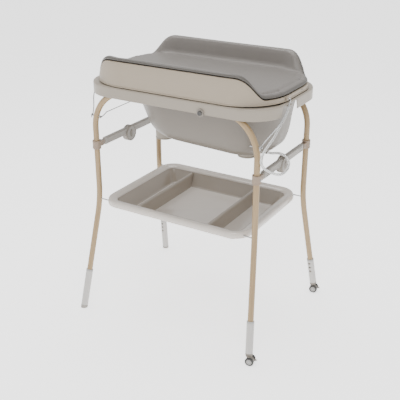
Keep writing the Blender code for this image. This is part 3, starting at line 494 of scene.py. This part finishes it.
def make_strut_details():
    """Raised rims, oval hubs and rows of small dark dimples on the folding struts, painted shadow where small
    holes are.
    """
    for side, sx in SIDES:
        for end, sy in ENDS:
            body = f"{side}_{end}_strut"
            lap = 1 if end == "front" else -1
            face = sx * LEG_X + sx * lap * DISC_W
            out = sx * lap
            profile = ((-0.0010, DISC_R - 0.0050), (0.0002, DISC_R - 0.0048), (0.0009, DISC_R - 0.0040),
                       (0.0010, DISC_R - 0.0014), (0.0004, DISC_R - 0.0003), (-0.0010, DISC_R + 0.0001),
                       (-0.0080, DISC_R + 0.0001), (-0.0080, DISC_R - 0.0050))
            rim = turned(f"{side}_{end}_disc_rim", (face, 0, CENTRE_Z), (out, 0, 0), profile, FITTING, body,
                         56, ring_closed=True)
            make_oval(f"{side}_{end}_disc_hub", face, out, body)
            for k in range(3):
                y = sy * (PIVOT_Y - 0.034 - 0.011 * k)
                for label, z in (("upper", 0.0065), ("lower", -0.0065)):
                    place = Vector((sx * LEG_X + sx * (STRUT_W / 2 - 0.0004), y, COLLAR_Z + z))
                    # each dimple is a dark disc: painted shadow of a small hole
                    dimple = turned(f"{body}_hole_{label}_{k}", place, (sx, 0, 0),
                                    ((-0.0004, 0.0022), (0.0005, 0.0022), (0.0007, 0.0017), (0.0002, 0.0012)),
                                    SHADOW, body, 16)


def make_oval(name, face, out, body):
    """A raised oval on a disc, longer up and down than across."""
    rings = []
    levels = ((-0.0010, 0.0160, 0.0085), (0.0008, 0.0158, 0.0083), (0.0020, 0.0148, 0.0074),
              (0.0026, 0.0125, 0.0055), (0.0028, 0.0080, 0.0028))
    for rise, long_r, short_r in levels:
        rings.append([(face + out * rise, short_r * math.cos(a), CENTRE_Z + long_r * math.sin(a))
                      for a in (2 * math.pi * i / 36 for i in range(36))])
    loft(name, rings, FITTING, body)


# ---- feet -------------------------------------------------------------------------------------
def make_sleeve_bushings():
    """The plastic bushing in the mouth of each telescopic sleeve."""
    for end, sy in ENDS:
        for side, sx in SIDES:
            top = leg_centre(SLEEVE_TOP, sx, sy)
            profile = ((-0.0050, TUBE_R + 0.0002), (-0.0050, 0.0141), (0.0002, 0.0142), (0.0014, 0.0138),
                       (0.0026, 0.0126), (0.0028, TUBE_R + 0.0002))
            bushing = turned(f"{end}_sleeve_bushing_{side}", top, leg_axis(sx, sy), profile, HUB,
                             f"{end}_sleeve_{side}", ring_closed=True)


def make_sleeve_holes():
    """A ring of painted shadow round each height hole of the sleeves, wide enough for the snap button."""
    for end, sy in ENDS:
        for side, sx in SIDES:
            axis = leg_axis(sx, sy)
            inward = Vector((0, -sy, 0))
            inward = (inward - axis * inward.dot(axis)).normalized()
            for k in range(3):
                place = leg_centre(SLEEVE_TOP, sx, sy) - axis * (0.016 + HOLE_PITCH * k) + inward * SLEEVE_R
                profile = ((-0.0008, 0.0032), (-0.0008, 0.0043), (0.0002, 0.0043), (0.0005, 0.0040),
                           (0.0005, 0.0035), (0.0002, 0.0032))
                # the ring is painted shadow round the hole's mouth
                hole = turned(f"{end}_sleeve_{side}_hole_{k}", place, inward, profile, SHADOW,
                              f"{end}_sleeve_{side}", 20, ring_closed=True)


def make_wheels():
    """Tyre and dished hub of each caster wheel."""
    axle = Vector((math.cos(AXLE_TURN), math.sin(AXLE_TURN), 0))
    half = WHEEL_W / 2
    tread = ((-half, HUB_R - 0.0003), (-half, WHEEL_R - 0.0018), (-half + 0.0006, WHEEL_R - 0.0007),
             (-half + 0.0018, WHEEL_R), (half - 0.0018, WHEEL_R), (half - 0.0006, WHEEL_R - 0.0007),
             (half, WHEEL_R - 0.0018), (half, HUB_R - 0.0003))
    for end, _ in ENDS:
        for label, sign in (("inner", -1), ("outer", 1)):
            node = f"{end}_caster_wheel_{label}"
            centre = middle_of(node)
            body = f"{end}_wheels"
            tyre = turned(f"{node}_tyre", centre, axle, tread, TYRE, body, 56, ring_closed=True)
            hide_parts(node)
            out = sign * axle
            dish = ((-half, HUB_R), (half - 0.0008, HUB_R), (half + 0.0002, HUB_R - 0.0005),
                    (half + 0.0002, HUB_R - 0.0015), (half - 0.0012, HUB_R - 0.0022), (half - 0.0012, 0.0054),
                    (half + 0.0002, 0.0046), (half + 0.0006, 0.0020), (half + 0.0006, 0.0004))
            turned(f"{node}_hub", centre, out, dish, HUB, body, 48)
            up = Vector((0, 0, 1))
            across = up.cross(axle)
            for k in range(5):
                a = 2 * math.pi * k / 5
                spot = centre + out * (half - 0.0012) + (across * math.cos(a) + up * math.sin(a)) * 0.0069
                pit = turned(f"{node}_pit_{k}", spot, out,
                             ((-0.0010, 0.0013), (0.0002, 0.0013), (0.0003, 0.0008)), FITTING, body, 12)


# ---- bath -------------------------------------------------------------------------------------
# each level of the basin: left end, right end, half depth, corner radius, height at left and right
BATH_LEVELS = (
    (-0.352, 0.3755, 0.197, 0.105, 0.927, 0.927),
    (-0.262, 0.3660, 0.186, 0.130, 0.9185, 0.922),
    (-0.250, 0.3570, 0.180, 0.150, 0.908, 0.910),
    (-0.242, 0.3500, 0.176, 0.160, 0.885, 0.885),
    (-0.221, 0.3440, 0.171, 0.160, 0.845, 0.845),
    (-0.199, 0.3370, 0.165, 0.150, 0.800, 0.800),
    (-0.181, 0.3290, 0.157, 0.140, 0.770, 0.768),
    (-0.150, 0.3150, 0.146, 0.120, 0.752, 0.741),
    (-0.108, 0.2930, 0.130, 0.100, 0.741, 0.7265),
    (0.020, 0.2680, 0.095, 0.065, 0.7235, 0.7190),
    (0.150, 0.2580, 0.048, 0.036, BATH_FLOOR, BATH_FLOOR),
)
BATH_FEET = ((-0.140, 0.042), (0.224, 0.056))
BATH_FOOT_Z = 0.7000
BATH_FOOT_R = 0.034
RIM_RINGS = 13                    # rings of the moulding in the rim's colour, before the basin, which takes a darker copy of the plastic as painted shade
NOTCH_EASE = 0.005


def skirt_bottom(x, y):
    """Lower edge of the skirt, which is cut away at both ends."""
    if abs(x) < RIM_X - 0.010:
        return SKIRT_BOTTOM
    reach = min(y - NOTCH[0], NOTCH[1] - y)
    share = min(max(reach / NOTCH_EASE + 0.5, 0.0), 1.0)
    return SKIRT_BOTTOM + (RIM_TOP - 0.0075 - SKIRT_BOTTOM) * share


def rim_ring(inset, height):
    """A ring of the rim; height is a function of the place on it."""
    points = outline(RIM_X - inset, RIM_Y - inset, RIM_CORNER - inset, 0.0, 18, 28, 60)
    return [(x, y, height(x, y)) for x, y in points]


def basin_ring(x_low, x_high, half_y, radius, z_left, z_right):
    """One level of the basin, which may slope along X."""
    points = outline((x_high - x_low) / 2, half_y, radius, (x_low + x_high) / 2, 18, 28, 60)
    return [(x, y, z_left + (z_right - z_left) * min(max((x - x_low) / (x_high - x_low), 0.0), 1.0))
            for x, y in points]


def make_bath():
    """Rim, skirt and basin of the bath as one moulded sheet, with its hollow feet; the basin is painted
    darker as shade.
    """
    top = RIM_TOP - RIM_ROLL
    rings = [rim_ring(0.0009, skirt_bottom), rim_ring(0.0, lambda x, y: skirt_bottom(x, y) + 0.0012)]
    for t in (0.35, 0.70, 1.0):
        rings.append(rim_ring(0.0, lambda x, y, t=t: skirt_bottom(x, y) + 0.0012
                              + (top - skirt_bottom(x, y) - 0.0012) * t))
    for i in range(1, 7):
        a = math.radians(90 * i / 6)
        rings.append(rim_ring(RIM_ROLL * (1 - math.cos(a)), lambda x, y, a=a: top + RIM_ROLL * math.sin(a)))
    rings += [basin_ring(*level) for level in catmull(BATH_LEVELS, 4)]
    tub = loft("bath_moulding", rings, BATH, "bath", close_first=False)
    # the basin's faces take the darker copy: painted shade
    tub.data.materials.append(BASIN_PAINTED_SHADE)
    for polygon in list(tub.data.polygons)[len(rings[0]) * RIM_RINGS:]:
        polygon.material_index = 1
    thicken(tub, BATH_WALL)
    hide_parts("bath_tub")
    for number, (x, y) in enumerate(BATH_FEET):
        for side, sy in ENDS:
            tall = 0.070 if number == 0 else 0.052
            profile = ((0.0040, 0.0250), (0.0010, 0.0280), (0.0, BATH_FOOT_R - 0.002), (0.0008, BATH_FOOT_R),
                       (0.0034, BATH_FOOT_R + 0.0006), (0.0050, BATH_FOOT_R), (0.0060, BATH_FOOT_R - 0.0012),
                       (0.030, BATH_FOOT_R - 0.0004), (tall, BATH_FOOT_R + 0.0010))
            foot = turned(f"bath_foot_{side}_{number}", (x, sy * y, BATH_FOOT_Z), (0, 0, 1), profile, BATH,
                          "bath", 56)


# ---- changing top -----------------------------------------------------------------------------
def wall_top(x, y):
    """Height of the changing top's wall at a place on its outline."""
    t = min(max((abs(x) - SLOPE_START) / (SLOPE_FINISH - SLOPE_START), 0.0), 1.0) ** SLOPE_POWER
    ease = t * t * (3 - 2 * t)
    return SHELL_WALL_TOP + (SHELL_END_TOP - SHELL_WALL_TOP) * ease


def top_ring(inset, height, corner_steps=44, along_x=24, along_y=8):
    """A ring inside the changing top's outline; height is a function of the outline's point."""
    outer = outline(SHELL_X, SHELL_Y, SHELL_CORNER, 0.0, corner_steps, along_x, along_y)
    inner = outline(SHELL_X - inset, SHELL_Y - inset, max(SHELL_CORNER - inset, 0.05), 0.0,
                    corner_steps, along_x, along_y)
    return [(ix, iy, height(ox, oy)) for (ox, oy), (ix, iy) in zip(outer, inner)]


def make_shell():
    """The moulded shell with a bead along its lower edge and a rolled upper edge."""
    def below_top(x, y):
        return wall_top(x, y) - 0.003

    bottom = SHELL_BOTTOM
    bead = ((0.0004, 0.0), (-0.0014, 0.0006), (-0.0026, 0.0022), (-0.0022, 0.0038), (0.0, BEAD_H))
    rings = [top_ring(inset, lambda x, y, z=bottom + rise: z) for inset, rise in bead]
    for t in (0.33, 0.66):
        rings.append(top_ring(0.0, lambda x, y, t=t: (bottom + BEAD_H) * (1 - t) + below_top(x, y) * t))
    rings.append(top_ring(0.0, below_top))
    for i in range(1, 5):
        a = math.radians(90 * i / 4)
        rings.append(top_ring(0.003 * (1 - math.cos(a)),
                              lambda x, y, a=a: below_top(x, y) + 0.003 * math.sin(a)))
    rings.append(top_ring(0.0080, wall_top))
    rings.append(top_ring(0.0115, lambda x, y: wall_top(x, y) - 0.0025))
    rings.append(top_ring(0.0220, lambda x, y: min(SHELL_FLOOR + 0.016, wall_top(x, y) - 0.0028)))
    rings.append(top_ring(0.0400, lambda x, y: SHELL_FLOOR))
    shell = loft("shell_moulding", rings, SHELL, "changing_top", close_first=False, smooth_angle=50.0)
    thicken(shell, 0.0022)
    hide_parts("changing_shell")


def mat_rings():
    """The mat before it swells: under side, edge rolled over the walls, and hollow upper side."""
    def above(rise):
        return lambda x, y: wall_top(x, y) + rise

    def inside(x, y):
        return min(SHELL_FLOOR + 0.0240, wall_top(x, y) + 0.0035)

    def slope(x, y):
        return max(wall_top(x, y) - 0.006, 0.9665)

    return [
        top_ring(0.0430, lambda x, y: SHELL_FLOOR + 0.0016),
        top_ring(0.0270, inside),
        top_ring(0.0165, above(0.0035)),
        top_ring(0.0030, above(0.0027)),
        top_ring(0.0003, above(0.0045)),
        top_ring(-0.0004, above(0.0080)),
        top_ring(0.0008, above(0.0116)),
        top_ring(0.0046, above(0.0148)),
        top_ring(0.0100, above(0.0162)),
        top_ring(0.0160, above(0.0154)),
        top_ring(0.0215, above(0.0118)),
        top_ring(0.0262, above(0.0058)),
        top_ring(0.0310, slope),
        top_ring(0.0400, lambda x, y: 0.9665 + 0.22 * (slope(x, y) - 0.9665)),
        top_ring(0.0520, lambda x, y: 0.9660),
    ]


def applied(obj):
    """A new mesh of the object as its modifiers leave it."""
    evaluated = obj.evaluated_get(bpy.context.evaluated_depsgraph_get())
    return bpy.data.meshes.new_from_object(evaluated)


def swap_mesh(obj, mesh):
    """Put a finished mesh on the object in place of its modifiers."""
    obj.modifiers.clear()
    obj.data = mesh


def swell(obj):
    """Blow the mat up a little by cloth simulation, with its under side held."""
    before = [v.co.copy() for v in obj.data.vertices]
    held = obj.vertex_groups.new(name="held")
    held.add([v.index for v in obj.data.vertices if v.normal.z < -0.15], 1.0, "REPLACE")
    cloth = obj.modifiers.new("cloth", "CLOTH")
    cloth.settings.quality = 5
    cloth.settings.mass = 0.3
    cloth.settings.tension_stiffness = 18
    cloth.settings.compression_stiffness = 18
    cloth.settings.bending_stiffness = 6
    cloth.settings.use_pressure = True
    cloth.settings.uniform_pressure_force = 4.0
    cloth.settings.effector_weights.gravity = 0.0
    cloth.settings.vertex_group_mass = "held"
    cloth.collision_settings.use_collision = False
    scene = bpy.context.scene
    for step in range(1, 21):
        scene.frame_set(step)
    mesh = applied(obj)
    for vertex, start in zip(mesh.vertices, before):
        move = vertex.co - start
        if move.length > MAT_CAP:
            vertex.co = start + move * (MAT_CAP / move.length)
    swap_mesh(obj, mesh)
    scene.frame_set(1)


def soften(obj, repeat):
    """Ease the steps that the voxels leave."""
    smooth = obj.modifiers.new("ease", "SMOOTH")
    smooth.factor = 0.5
    smooth.iterations = repeat
    swap_mesh(obj, applied(obj))


def paint_edge_shade(mat):
    """Store how far each point lies on the mat's outer roll, which is painted darker as shade."""
    values = []
    for vertex in mat.data.vertices:
        x, y, _ = vertex.co
        corner_x = max(abs(x) - (SHELL_X - SHELL_CORNER), 0.0)
        corner_y = max(abs(y) - (SHELL_Y - SHELL_CORNER), 0.0)
        if corner_x and corner_y:
            inset = SHELL_CORNER - math.hypot(corner_x, corner_y)
        else:
            inset = min(SHELL_X - abs(x), SHELL_Y - abs(y))
        values.append(min(max((SHADE_BAND_WIDTH - inset) / SHADE_BAND_FADE, 0.0), 1.0))
    attribute = mat.data.attributes.new("edge", "FLOAT", "POINT")
    attribute.data.foreach_set("value", values)


def make_mat():
    """The padded mat: remeshed, swollen by simulation, given painted shade on its outer roll, and subdivided.
    """
    mat = loft("padded_mat", mat_rings(), MAT, "changing_top")
    remesh = mat.modifiers.new("remesh", "REMESH")
    remesh.mode = "VOXEL"
    remesh.voxel_size = MAT_VOXEL
    swap_mesh(mat, applied(mat))
    soften(mat, 4)
    swell(mat)
    soften(mat, 2)
    paint_edge_shade(mat)
    fine = mat.modifiers.new("fine", "SUBSURF")
    fine.levels = 1
    fine.render_levels = 1
    mat.data.shade_smooth()
    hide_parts("changing_mat")


def make_shell_slots():
    """Dark discs in the changing top's ends where its catches sit: painted shadow of the slots."""
    for side, sx in SIDES:
        rings = []
        levels = ((-0.0012, 0.0100, 0.0016), (0.0002, 0.0100, 0.0016), (0.0005, 0.0094, 0.0011),
                  (-0.0002, 0.0088, 0.0007))
        for depth, half_y, half_z in levels:
            rings.append([(sx * (SHELL_X + depth), 0.045 + half_y * math.cos(a),
                           0.9415 + half_z * math.sin(a)) for a in (2 * math.pi * i / 24 for i in range(24))])
        # a thin dark disc standing for the slot's shadow: painted shadow
        loft(f"shell_slot_{side}", rings, SHADOW, "changing_top")


# ---- tray -------------------------------------------------------------------------------------
def make_tray():
    """The glossy tray: rolled rim, sloping walls painted darker as shade, flat floor, hollow dividers and
    hooks over the rods.
    """
    rolls = ((0.0008, -0.0230), (0.0, -0.0150), (0.0020, -0.0060), (0.0060, -0.0012), (0.0115, 0.0),
             (0.0190, -0.0012), (0.0290, -0.0045), (0.0365, -0.0090), (0.0410, -0.0180), (0.0640, -0.0540),
             (0.0700, -0.0610), (0.0800, -0.0640))
    rings = []
    for inset, drop in catmull(rolls, 4):
        points = outline(TRAY_X - inset, TRAY_Y - inset, max(TRAY_CORNER - inset, 0.022), corner_steps=16,
                         along_x=20, along_y=16)
        rings.append([(x, y, TRAY_TOP + min(drop, 0.0)) for x, y in points])
    tray = loft("tray_moulding", rings, TRAY, "tray", close_first=False)
    # the sloping inner walls take the darker copy: painted shade
    tray.data.materials.append(TRAY_SHADED_WALLS)
    for polygon in list(tray.data.polygons)[len(rings[0]) * 30:len(rings[0]) * 42]:
        polygon.material_index = 1
    thicken(tray, TRAY_WALL)
    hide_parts("storage_tray")
    floor_z = TRAY_TOP - 0.064
    top_z = TRAY_TOP - 0.012
    for number, x in enumerate((-0.165, 0.143)):
        rings = []
        for share, half_w in ((0.0, 0.0160), (0.05, 0.0146), (0.30, 0.0120), (0.65, 0.0090), (0.86, 0.0066),
                              (0.95, 0.0048), (1.0, 0.0022)):
            half_y = 0.1690 + 0.0320 * share
            z = floor_z - 0.001 + (top_z - floor_z + 0.001) * share
            points = outline(half_w, half_y, min(half_w * 0.9, 0.004), x, 5, 2, 30)
            rings.append([(px, py, z) for px, py in points])
        # the dividers take the same darker copy: painted shade
        loft(f"tray_divider_{number}", rings, TRAY_SHADED_WALLS, "tray")
    rod_z = middle_of("front_tray_rod").z
    for end, sy in ENDS:
        rod_y = abs(middle_of(f"{end}_tray_rod").y)
        for number, x in enumerate((-0.20, -0.07, 0.07, 0.20)):
            rings = []
            for half_x, low_y, high_y, z in ((0.0022, rod_y + 0.0032, rod_y + 0.0068, rod_z - 0.006),
                                             (0.0026, rod_y + 0.0030, rod_y + 0.0072, rod_z),
                                             (0.0030, TRAY_Y - 0.0335, rod_y + 0.0080, rod_z + 0.0032),
                                             (0.0034, TRAY_Y - 0.0335, rod_y + 0.0085, TRAY_TOP - 0.008)):
                rings.append([(x - half_x, sy * low_y, z), (x + half_x, sy * low_y, z),
                              (x + half_x, sy * high_y, z), (x - half_x, sy * high_y, z)])
            loft(f"tray_hook_{end}_{number}", rings, TRAY, "tray")


# ---- light and floor --------------------------------------------------------------------------
def area_light(name, place, target, size, energy):
    """A soft square light aimed at a point."""
    data = bpy.data.lights.new(name, "AREA")
    data.size = size
    data.energy = energy
    lamp = bpy.data.objects.new(name, data)
    bpy.context.scene.collection.objects.link(lamp)
    lamp.location = place
    lamp.rotation_euler = (Vector(target) - Vector(place)).to_track_quat("-Z", "Y").to_euler()


def make_studio():
    """A pale floor, a white world and three soft lights."""
    scene = bpy.context.scene
    world = bpy.data.worlds.new("studio")
    world.use_nodes = True
    world.node_tree.nodes["Background"].inputs["Color"].default_value = (1.0, 1.0, 1.0, 1.0)
    world.node_tree.nodes["Background"].inputs["Strength"].default_value = 0.95
    scene.world = world
    middle = (0.0, 0.0, 0.75)
    area_light("key", (1.1, -2.2, 2.9), middle, 1.6, 46.0)
    area_light("top", (-0.4, 0.3, 3.2), middle, 2.2, 62.0)
    area_light("fill", (-2.6, -1.4, 1.4), middle, 1.8, 8.0)
    paper = finish("studio_floor", (246, 246, 246), 0.85, mottle=0.004, mottle_size=0.5, grain_depth=0.0)
    paper.node_tree.nodes["Principled BSDF"].inputs["Emission Color"].default_value = (1.0, 1.0, 1.0, 1.0)
    paper.node_tree.nodes["Principled BSDF"].inputs["Emission Strength"].default_value = 1.5
    bm = bmesh.new()
    bmesh.ops.create_grid(bm, x_segments=8, y_segments=8, size=14.0)
    mesh = bpy.data.meshes.new("studio_floor")
    bm.to_mesh(mesh)
    bm.free()
    floor = bpy.data.objects.new("studio_floor", mesh)
    mesh.materials.append(paper)
    scene.collection.objects.link(floor)


def main():
    make_camera()
    make_hose()
    dress_frame()
    make_bent_frames()
    make_collar_details()
    make_strut_details()
    make_sleeve_bushings()
    make_sleeve_holes()
    make_wheels()
    make_bath()
    make_shell()
    make_shell_slots()
    make_tray()
    make_mat()
    make_studio()


main()
